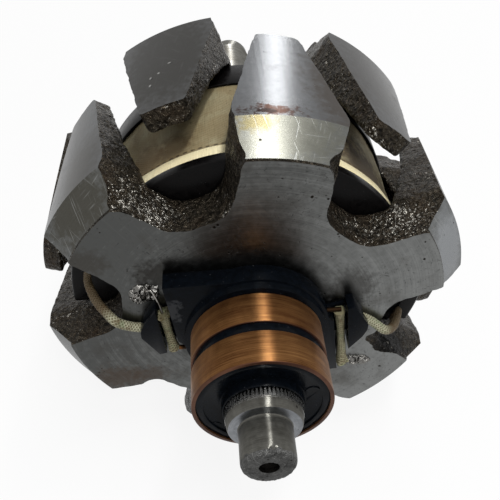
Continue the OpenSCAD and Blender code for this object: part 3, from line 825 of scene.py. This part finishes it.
def shaft_body():
    """Stepped shaft with a rough, chipped end round its lathe centre."""
    drive_end = [(0, 68), (6.5, 68), (7.3, 67.2), (7.3, 64.3), (7.2, 64), (7.2, 43.3), (7.7, 43), (8, 42.7),
                 (8, 16.4), (8.2, 16), (8.5, 15.5), (8.5, 0.4), (8.7, 0), (11.2, 0), (11.5, -0.3), (11.5, -8.3),
                 (11.3, -8.5), (SHAFT_R, -8.5), (SHAFT_R, -91.6), (7.7, -92)]
    shoulder = [(7.7, -100), (8.3, -100.2), (SHAFT_R, -100.35), (SHAFT_R - 0.06, -100.7), (8.35, -102.3),
                (8.2, -102.6), (8.1, -102.8), (7.6, -102.9), (6.6, -102.95), (6.1, -103.05), (5.88, -103.3),
                (5.86, -103.7)]
    journal = [(6, -103.95), (6, -109), (6, -110), (6, -110.4), (5.98, -110.8), (5.93, -111.2), (5.82, -111.55),
               (5.62, -111.9), (5.3, -112.2), (4.7, -112.37), (4.1, -112.4), (3.5, -112.4), (2.9, -112.4)]
    centre = [(2.45, -112.35), (2.15, -112), (1.95, -111), (1.15, -110.2), (1.1, -106.4), (0, -106)]
    body = turned("shaft_body", drive_end + shoulder + journal + centre, TURNED_STEPS)
    for material in (journal_steel, journal_end, drive_end_steel, shoulder_steel_painted_sheen, centre_hole):
        body.data.materials.append(material)
    for vertex in body.data.vertices:
        x, y, z = vertex.co / MM
        r = hypot(x, z)
        if y < WORN_FROM and r > 2.3:
            worn = min(1, (WORN_FROM - y) / 1.2)
            chip = max(0, noise.noise(Vector((x, y * 0.6, z)) * 0.75) - 0.1)
            notch = max(0, 1 - abs(degrees(atan2(z, x)) - 76) / 14) ** 2 if r > 4.5 else 0
            rough = 0.12 * noise.noise(Vector((x, y, z)) * 1.6) + 0.06 * noise.noise(Vector((x, y, z)) * 3.7)
            vertex.co.y += worn * max(0.005, 0.5 * chip + 0.4 * notch + rough + 0.09) * MM
            inward = 1 - worn * (0.06 * chip + 0.05 * notch)
            vertex.co.x *= inward
            vertex.co.z *= inward
    for face in body.data.polygons:
        x, y, z = face.center / MM
        r = hypot(x, z)
        if y > -60:
            face.material_index = 2
        elif r < 2.2:
            face.material_index = 4
        elif y < -110.95 + 0.4 * noise.noise(Vector((x, 0, z)) * 0.7):
            face.material_index = 1
        elif -103.0 < y < -102.75:
            face.material_index = 3
    smooth(body, 30)
    finish_piece(body, (), ["shaft"])


def shaft_knurl():
    """Ring of pressed grooves that run out to points in the smooth band."""
    crest, valley = SHAFT_R - 0.02, SHAFT_R - 0.7
    deselect()
    bpy.ops.mesh.primitive_circle_add(vertices=3 * KNURL_TEETH, radius=crest * MM,
                                      location=(0, KNURL_START * MM, 0), rotation=(pi / 2, 0, 0))
    knurl = named("shaft_knurl")
    bpy.ops.object.transform_apply(location=True, rotation=True, scale=True)
    open_edit(knurl)
    bpy.ops.mesh.select_mode(type="VERT")
    take_all()
    for run in KNURL_RUNS:
        bpy.ops.mesh.extrude_region_move(TRANSFORM_OT_translate={"value": (0, run * MM, 0)})
    for end in (KNURL_START, KNURL_END):
        pick(knurl, "VERT", lambda v: abs(v.co.y - end * MM) < 10 * MERGE)
        bpy.ops.mesh.edge_face_add()
    take_all()
    bpy.ops.mesh.normals_make_consistent(inside=False)
    close_edit()
    pitch = 2 * pi / KNURL_TEETH
    for vertex in knurl.data.vertices:
        turn = atan2(vertex.co.z, vertex.co.x)
        tooth, part = divmod(round(turn / (pitch / 3)), 3)
        run_out = min(1, max(0, (RUN_OUT_FROM - vertex.co.y / MM) / RUN_OUT_LENGTH))
        if part == 0:
            turn, r = tooth * pitch, valley + (crest - valley) * run_out
        else:
            half = 0.13 + 0.34 * run_out
            turn, r = (tooth + 0.5 + (half if part == 2 else -half)) * pitch, crest
        vertex.co.x, vertex.co.z = r * cos(turn) * MM, r * sin(turn) * MM
    smooth(knurl, 20)
    finish_piece(knurl, [knurl_steel_painted_light_and_shade])


def shaft_thread():
    """Nut thread: one ridge wound round the drive end."""
    pitch, turns = 1.5, 13
    deselect()
    bpy.ops.mesh.primitive_circle_add(vertices=4, radius=0.7 * MM, location=(7.2 * MM, 43.4 * MM, 0))
    ridge = named("shaft_thread")
    bpy.ops.object.transform_apply(location=True, rotation=True, scale=True)
    apply_modifier(ridge, "SCREW", axis="Y", angle=2 * pi, screw_offset=pitch * MM, iterations=turns,
                   steps=36, render_steps=36, use_merge_vertices=True)
    open_edit(ridge)
    take_all()
    bpy.ops.mesh.remove_doubles(threshold=MERGE)
    pick(ridge, "EDGE", lambda e: e.is_boundary)
    bpy.ops.mesh.edge_face_add()
    take_all()
    bpy.ops.mesh.normals_make_consistent(inside=False)
    close_edit()
    smooth(ridge, 30)
    finish_piece(ridge, [drive_end_steel])


shaft_body()
shaft_knurl()
shaft_thread()


# Slip rings, their hub and the bobbin

RING_BORE_R = 15.0
RING_R = 15.9
HUB_FRONT = -96.3
GUIDE_R = (40.8, 45.7)
GUIDE_Z = (18.4, 21.6)
GUIDE_HALF_ANGLE = 10.9


def slip_ring(name, node, start, end):
    """One copper ring with worn edges, between two places on the shaft."""
    ring = turned(name, [(RING_BORE_R, start), (RING_R - 0.15, start), (RING_R - 0.04, start - 0.05),
                         (RING_R, start - 0.15), (RING_R, end + 0.15), (RING_R - 0.04, end + 0.05),
                         (RING_R - 0.15, end), (RING_BORE_R, end)], TURNED_STEPS, closed=True)
    ring.data.materials.append(ring_copper)
    ring.data.materials.append(ring_edge)
    for face in ring.data.polygons:
        face.material_index = 1 if abs(face.normal.y) > 0.2 else 0
    smooth(ring, 40)
    finish_piece(ring, (), [node])


def rounded_copy(node, name, width, material, cutter=None):
    """A solid's copy with its edges broken, after a turned cutter has taken its part."""
    piece = copy_of(node, name)
    if cutter:
        apply_modifier(piece, "BOOLEAN", operation="DIFFERENCE", object=cutter, solver="EXACT")
        bpy.data.objects.remove(cutter)
    open_edit(piece)
    take_all()
    bpy.ops.mesh.dissolve_limited(angle_limit=radians(1))
    close_edit()
    break_edges(piece, width, 2)
    finish_piece(piece, [material], [node])


def hub_seat():
    """Thin lip of the hub, from which the knurl comes out."""
    seat = turned("hub_seat", [(8.76, -92), (9.8, -92), (9.8, -96.26), (9.3, -96.28), (9.28, -98.1),
                               (9.18, -98.3), (8.95, -98.35), (8.76, -98.2)], 160, closed=True)
    smooth(seat, 40)
    finish_piece(seat, [hub_black])


def front_hooks():
    """Two short curved ribs on the front of the hub."""
    for name, x, z, heading in (("upper_hook", 11.0, 3.3, 20), ("lower_hook", -11.2, -7.4, 10)):
        path = []
        for k in range(13):
            turn = radians(heading + 160 * k / 12)
            path.append(Vector((x + 1.5 * cos(turn), HUB_FRONT - 0.04, z + 1.2 * sin(turn))) * MM)
        rib = swept("hub_" + name, path, 0.16, 10)
        finish_piece(rib, [hub_black])


def lead_guide(side, middle):
    """Lobe of the front flange of the bobbin that holds a lead where it leaves the coil."""
    (inner, outer), (back, front) = GUIDE_R, GUIDE_Z
    guide = turned(side + "_lead_guide", [(inner, along(back)), (outer, along(back)), (outer, along(front)),
                                          (inner, along(front))], LATHE_STEPS, closed=True)
    open_edit(guide)
    for away, behind in ((-GUIDE_HALF_ANGLE, True), (GUIDE_HALF_ANGLE, False)):
        turn = radians(middle + away)
        take_all()
        bpy.ops.mesh.bisect(plane_co=(0, 0, 0), plane_no=(-sin(turn), 0, cos(turn)), use_fill=True,
                            clear_inner=behind, clear_outer=not behind)
    close_edit()
    break_edges(guide, 0.9, 3)
    finish_piece(guide, [bobbin_black])


slip_ring("rear_ring", "rear_slip_ring", -77.75, -86.25)
slip_ring("front_ring", "front_slip_ring", -88.7, -97.2)
front_step = turned("front_step", [(8, -99), (13.3, -99), (13.3, HUB_FRONT), (8, HUB_FRONT)], 160, closed=True)
rounded_copy("slip_ring_hub", "ring_hub", 0.2, hub_black, front_step)
rounded_copy("coil_bobbin", "bobbin", 0.3, bobbin_black)
lead_guide("left", 169)
lead_guide("right", 349)


# Tape round the coil

TAPE_WIDTH = 36.2
TAPE_ROWS = 40
TAPE_STEPS = 288


def coil_wrap():
    """Wrinkled tape between the flanges of the bobbin."""
    stations = [-TAPE_WIDTH / 2 + TAPE_WIDTH * k / TAPE_ROWS for k in range(TAPE_ROWS + 1)]
    wrap = turned("coil_wrap", [(TAPE_R - 0.15, along(z)) for z in stations], TAPE_STEPS)
    roughen(wrap, "tape_wrinkles", 7, 2, 0.5, 0.6)
    apply_modifier(wrap, "SOLIDIFY", thickness=0.6 * MM, offset=-1)
    smooth(wrap, 50)
    finish_piece(wrap, [tape_cloth], ["coil_tape"])
    return wrap


def tape_hem():
    """Folded front edge of the tape."""
    fold = [(40.3, 14.7), (40.75, 14.6), (41.0, 14.9), (41.0, 16.2), (41.0, 17.8), (40.8, 18.15), (40.3, 18.1)]
    hem = turned("tape_hem", [(r, along(z)) for r, z in fold], TAPE_STEPS, closed=True)
    roughen(hem, "hem_waves", 5, 2, 0.35, 0.7)
    smooth(hem, 50)
    finish_piece(hem, [hem_cloth_painted_light], ["front_tape_hem"])
    return hem


coil_wrap()
tape_hem()


# Leads: sleeves, bare wires and terminals, left and right by a half turn

LEAD_ROUTES = {
    "left": [(-39.3, 14, -8.6), (-40.6, 9, -8.4), (-39.9, 6.8, -6.4), (-38.1, 5.4, -3.3), (-35.9, 4.6, -0.6),
             (-33.5, 3.4, 1.5), (-30, 1.2, 1.35), (-25, 0.2, 1.35)],
    "right": [(-38.1, 15, -8.6), (-39.3, 11.4, -8.4), (-38.5, 9.8, -6), (-37.3, 9.3, -3.2), (-35.7, 8.6, -0.4),
              (-33.1, 6.9, 1.6), (-29.4, 3.4, 1.35), (-25, 0.2, 1.35)]}
TAIL_ROUTES = {
    "left": [(-22, 6.4, 2.55), (-21.7, 3, 2.25), (-21.3, -2, 2.25), (-20.7, -6.8, 2.25)],
    "right": [(-22.3, 17, 2.45), (-22, 10.8, 2.25), (-21.4, 3.6, 2.25), (-20.8, -2.6, 2.25)]}
WIRE_ROUTES = {
    "left": [(-22, 6.6, 2.55), (-22.9, 10.5, 1.8), (-24.2, 12.9, 0.9), (-26.2, 11.8, 0.35)],
    "right": [(-22.3, 17.2, 2.45), (-23.2, 18.6, 1.6), (-24.5, 19.4, 0.8), (-25.8, 19.2, 0.35)]}
SLEEVE_R = 1.2
TAIL_MOUTH_R = 1.1
WIRE_R = 0.25
STRANDS = 11


def placed(point, side):
    """A point beside the hub, given for the left lead, in the frame of the rotor."""
    x, up, height = point
    turn = 1 if side == "left" else -1
    return Vector((turn * x, along(FACE_Z) - height, turn * up)) * MM


def curve_through(points, steps):
    """Smooth curve through the points of a route."""
    path = []
    for i in range(len(points) - 1):
        a, b = points[max(i - 1, 0)], points[i]
        c, d = points[i + 1], points[min(i + 2, len(points) - 1)]
        for s in range(steps):
            t = s / steps
            path.append(0.5 * (2 * b + (c - a) * t + (2 * a - 5 * b + 4 * c - d) * t * t
                               + (3 * b - 3 * c + d - a) * t ** 3))
    path.append(points[-1])
    return path


def lead_path(routes, side, steps):
    return curve_through([placed(point, side) for point in routes[side]], steps)


def swept(name, path, radius, sides, shape=None, mouth=0.0):
    """Tube along a path with its own run of turn and length for patterns, and an open mouth at its start."""
    body = bmesh.new()
    layer = body.loops.layers.uv.new("sleeve")
    side = Vector((0.3, 1, 0.2))
    last = len(path) - 1
    stations, run = [], 0.0
    for i, point in enumerate(path):
        heading = (path[min(i + 1, last)] - path[max(i - 1, 0)]).normalized()
        side = (side - side.dot(heading) * heading).normalized()
        run += (point - path[i - 1]).length / MM if i else 0
        stations.append((point, side.copy(), heading.cross(side), i / last, run, radius))
    if mouth:
        inner = [(stations[k][:5] + (mouth * (0.6 + 0.25 * (3 - k) / 3),)) for k in (3, 2, 1, 0)]
        stations = inner + stations
    rings = []
    for point, across, other, t, run, size in stations:
        ring = []
        for k in range(sides):
            turn = 2 * pi * k / sides
            reach = size * (shape(t, turn) if shape else 1)
            ring.append(body.verts.new(point + reach * MM * (cos(turn) * across + sin(turn) * other)))
        rings.append(ring)
    for i in range(len(rings) - 1):
        for k in range(sides):
            n = (k + 1) % sides
            face = body.faces.new((rings[i][k], rings[i][n], rings[i + 1][n], rings[i + 1][k]))
            for loop, (u, v) in zip(face.loops, ((k, i), (k + 1, i), (k + 1, i + 1), (k, i + 1))):
                loop[layer].uv = (u / sides, stations[v][4])
    body.faces.new(rings[0][::-1])
    body.faces.new(rings[-1])
    bmesh.ops.recalc_face_normals(body, faces=body.faces)
    mesh = bpy.data.meshes.new(name)
    body.to_mesh(mesh)
    body.free()
    piece = bpy.data.objects.new(name, mesh)
    bpy.context.scene.collection.objects.link(piece)
    smooth(piece, 60)
    return piece


def woven_shape(t, turn):
    """Slight relief of crossing strands, thinner where the lead leaves the coil."""
    thin = 1 - 0.3 * max(0, 1 - t / 0.35)
    return thin + 0.035 * sin(6 * turn + 60 * t) * sin(6 * turn - 60 * t)


def flared_shape(t, turn):
    """Sleeve that opens into a torn mouth, narrows and swells again at its end."""
    mouth = max(0, 1 - t / 0.22) ** 2
    tail = max(0, (t - 0.75) / 0.25) ** 2
    torn = 0.2 * sin(4 * turn + 1.3) + 0.12 * sin(7 * turn)
    waist = 0.1 * sin(7 * t + 0.8)
    weave = 0.03 * sin(6 * turn + 30 * t) * sin(6 * turn - 30 * t)
    return 1 + 0.06 * cos(2 * turn) + waist + mouth * (0.5 + torn) + 0.2 * tail + weave


def frayed_end(name, path):
    """Loose strands at the torn mouth of a tail sleeve, joined in one piece."""
    point, outward = path[0], (path[0] - path[2]).normalized()
    strands = []
    for k in range(STRANDS):
        turn = 2 * pi * k / STRANDS
        spread = Vector((cos(turn), 0.5 * sin(turn), sin(turn)))
        spread = (spread - spread.dot(outward) * outward).normalized()
        length = 1.0 + 0.8 * abs(noise.noise(Vector((k * 1.7, 3.1, len(name)))))
        lean = 0.5 + 0.5 * noise.noise(Vector((k * 2.3, 9.4, len(name))))
        line = [point + (1.6 * spread + 0.7 * length * s * (outward + lean * s * spread)) * MM
                for s in (-0.6, 0, 0.3, 0.6, 1.0)]
        strands.append(swept(name + "_%02d" % k, curve_through(line, 2), 0.1, 5, lambda t, turn: 1.1 - 0.8 * t))
    only(strands[0])
    for strand in strands[1:]:
        strand.select_set(True)
    bpy.ops.object.join()
    strands[0].name = name
    strands[0].data.name = name
    return strands[0]


def stake_burr(name, centre, size, turn, seed):
    """Metal punched up from the pole face beside the hub: a crumpled lump with folds, whose creases carry a depth
    for painted shade.
    """
    deselect()
    bpy.ops.mesh.primitive_ico_sphere_add(subdivisions=6, radius=MM)
    burr = named(name)
    crease_shade = []
    for vertex in burr.data.vertices:
        x, y, z = vertex.co / MM
        place = Vector((x * size[0], 0, z * size[2]))
        bend = noise.noise(place * 0.55 + Vector((seed, 0, 0))) * 5
        fold = abs(sin(1.35 * place.x + 0.5 * place.z + bend + seed))
        rough = (noise.noise(place * 1.3 + Vector((0, seed, 0)))
                 + 0.5 * noise.noise(place * 2.9 + Vector((0, 0, seed))))
        height = 0.35 + 0.85 * fold + 0.35 * rough
        crease_shade.append(max(0, min(1, 1 - height / 0.95)))
        spot = Vector((x, z, seed))
        edge = 1 + 0.3 * noise.noise(spot * 1.9) + 0.12 * noise.noise(spot * 5)
        vertex.co = Vector((x * size[0] * edge, y * size[1] * max(0.05, height), z * size[2] * edge)) * MM
    crease = burr.data.attributes.new("crease", "FLOAT", "POINT")
    crease.data.foreach_set("value", crease_shade)
    only(burr)
    burr.rotation_euler = (0, radians(turn), 0)
    burr.location = Vector(centre) * MM
    bpy.ops.object.transform_apply(location=True, rotation=True, scale=True)
    smooth(burr, 60)
    finish_piece(burr, [staked_steel])


for side in ("left", "right"):
    lead = swept(side + "_lead", lead_path(LEAD_ROUTES, side, 8), SLEEVE_R, 24, woven_shape)
    finish_piece(lead, [lead_cloth], [side + "_lead_sleeve"])
    tail_path = lead_path(TAIL_ROUTES, side, 12)
    tail = swept(side + "_tail", tail_path, SLEEVE_R, 32, flared_shape, mouth=TAIL_MOUTH_R)
    finish_piece(tail, [tail_cloth], [side + "_tail_sleeve"])
    fray = frayed_end(side + "_fray", tail_path)
    finish_piece(fray, [tail_cloth])
    wire = swept(side + "_wire", lead_path(WIRE_ROUTES, side, 8), WIRE_R, 12)
    finish_piece(wire, [bright_wire], [side + "_lead_wire"])
front_hooks()
hub_seat()
stake_burr("left_stake", (-26.2, -70.9, 11.2), (3.9, 1.1, 3.1), -15, 2.0)
stake_burr("right_stake", (27.2, -70.9, -20.4), (3.8, 0.9, 1.9), 12, 5.0)

# Solids that stay as they are get their finish
for node, material in (("field_core", core_iron), ("field_winding", winding_enamel),
                       ("left_ring_terminal", terminal_copper), ("right_ring_terminal", terminal_copper)):
    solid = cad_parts[node]
    solid.data.materials.clear()
    solid.data.materials.append(material)


# Camera at the photograph's angle, fitted to the claws, rings and shaft; lengths in millimetres, focus in pixels

PHOTO_WIDTH = 500
SENSOR_WIDTH = 36
FOCUS = 668.73
AZIMUTH, ELEVATION, ROLL = -2.23, 43.02, -2.59
AIM = Vector((0.8, -41.4, -4.76))
DISTANCE = 191.63


def photo_camera():
    az, el, roll = radians(AZIMUTH), radians(ELEVATION), radians(ROLL)
    back = Vector((sin(az) * cos(el), -cos(az) * cos(el), sin(el)))
    level = Vector((0, 0, 1)).cross(back).normalized()
    rise = back.cross(level)
    right = cos(roll) * level + sin(roll) * rise
    up = -sin(roll) * level + cos(roll) * rise
    data = bpy.data.cameras.new("photo_camera")
    data.sensor_width = SENSOR_WIDTH
    data.lens = FOCUS * SENSOR_WIDTH / PHOTO_WIDTH
    data.clip_start = 0.005
    camera = bpy.data.objects.new("photo_camera", data)
    bpy.context.scene.collection.objects.link(camera)
    stand = Matrix((right, up, back)).transposed().to_4x4()
    stand.translation = (AIM + back * DISTANCE) * MM
    camera.matrix_world = stand
    bpy.context.scene.camera = camera


def background_rays(tree):
    """One for the rays that show the background: from the camera, in gloss and through glass."""
    path = outputs_of(tree.nodes.new("ShaderNodeLightPath"))
    return strongest([path["Is Camera Ray"], path["Is Glossy Ray"], path["Is Transmission Ray"]])


def studio():
    """Pale floor, white surroundings and soft lamps."""
    deselect()
    bpy.ops.mesh.primitive_plane_add(size=6, location=(0, 0, -ROTOR_R * MM))
    floor = named("studio_floor")
    material, shader, place = new_material("studio_floor")
    tree = place.tree
    plug(shader["Base Color"], (0.86, 0.86, 0.86, 1))
    plug(shader["Roughness"], 0.9)
    plug(shader["Specular IOR Level"], 0.0)
    away = add(tree, "ShaderNodeVectorMath", {0: place}, output="Value", operation="LENGTH")
    share = background_rays(tree) * between(away, 150, 600, 0.88, 1.0)
    white = add(tree, "ShaderNodeEmission", {"Color": (1, 1, 1, 1), "Strength": 1.0})
    shadowed = Value(tree.nodes["Principled BSDF"].outputs[0])
    mixed = add(tree, "ShaderNodeMixShader", {0: share, 1: shadowed, 2: white})
    plug(tree.nodes["Material Output"].inputs["Surface"], mixed)
    floor.data.materials.append(material)

    world = bpy.data.worlds.new("studio_world")
    bpy.context.scene.world = world
    world.use_nodes = True
    backdrop = world.node_tree.nodes["Background"].inputs
    plug(backdrop["Color"], (1, 1, 1, 1))
    plug(backdrop["Strength"], between(background_rays(world.node_tree), 0, 1, 0.4, 1.0))

    def lamp(name, place, aim, width, height, radiance):
        data = bpy.data.lights.new(name, "AREA")
        data.shape = "RECTANGLE"
        data.size, data.size_y = width, height
        data.energy = radiance * pi * width * height
        light = bpy.data.objects.new(name, data)
        bpy.context.scene.collection.objects.link(light)
        light.location = place
        light.rotation_euler = (Vector(aim) - Vector(place)).to_track_quat("-Z", "Y").to_euler()

    lamp("window_behind", (0.125, 0.42, 0.31), (0, -0.04, 0), 0.06, 0.34, 7.4)
    lamp("window_above", (0.135, -0.13, 0.62), (0, -0.09, 0.01), 0.4, 0.045, 38.0)
    lamp("soft_front", (0.142, -0.495, 0.607), (0, -0.04, 0), 0.12, 0.14, 30.0)


photo_camera()
studio()
bpy.context.scene.view_settings.view_transform = "Standard"
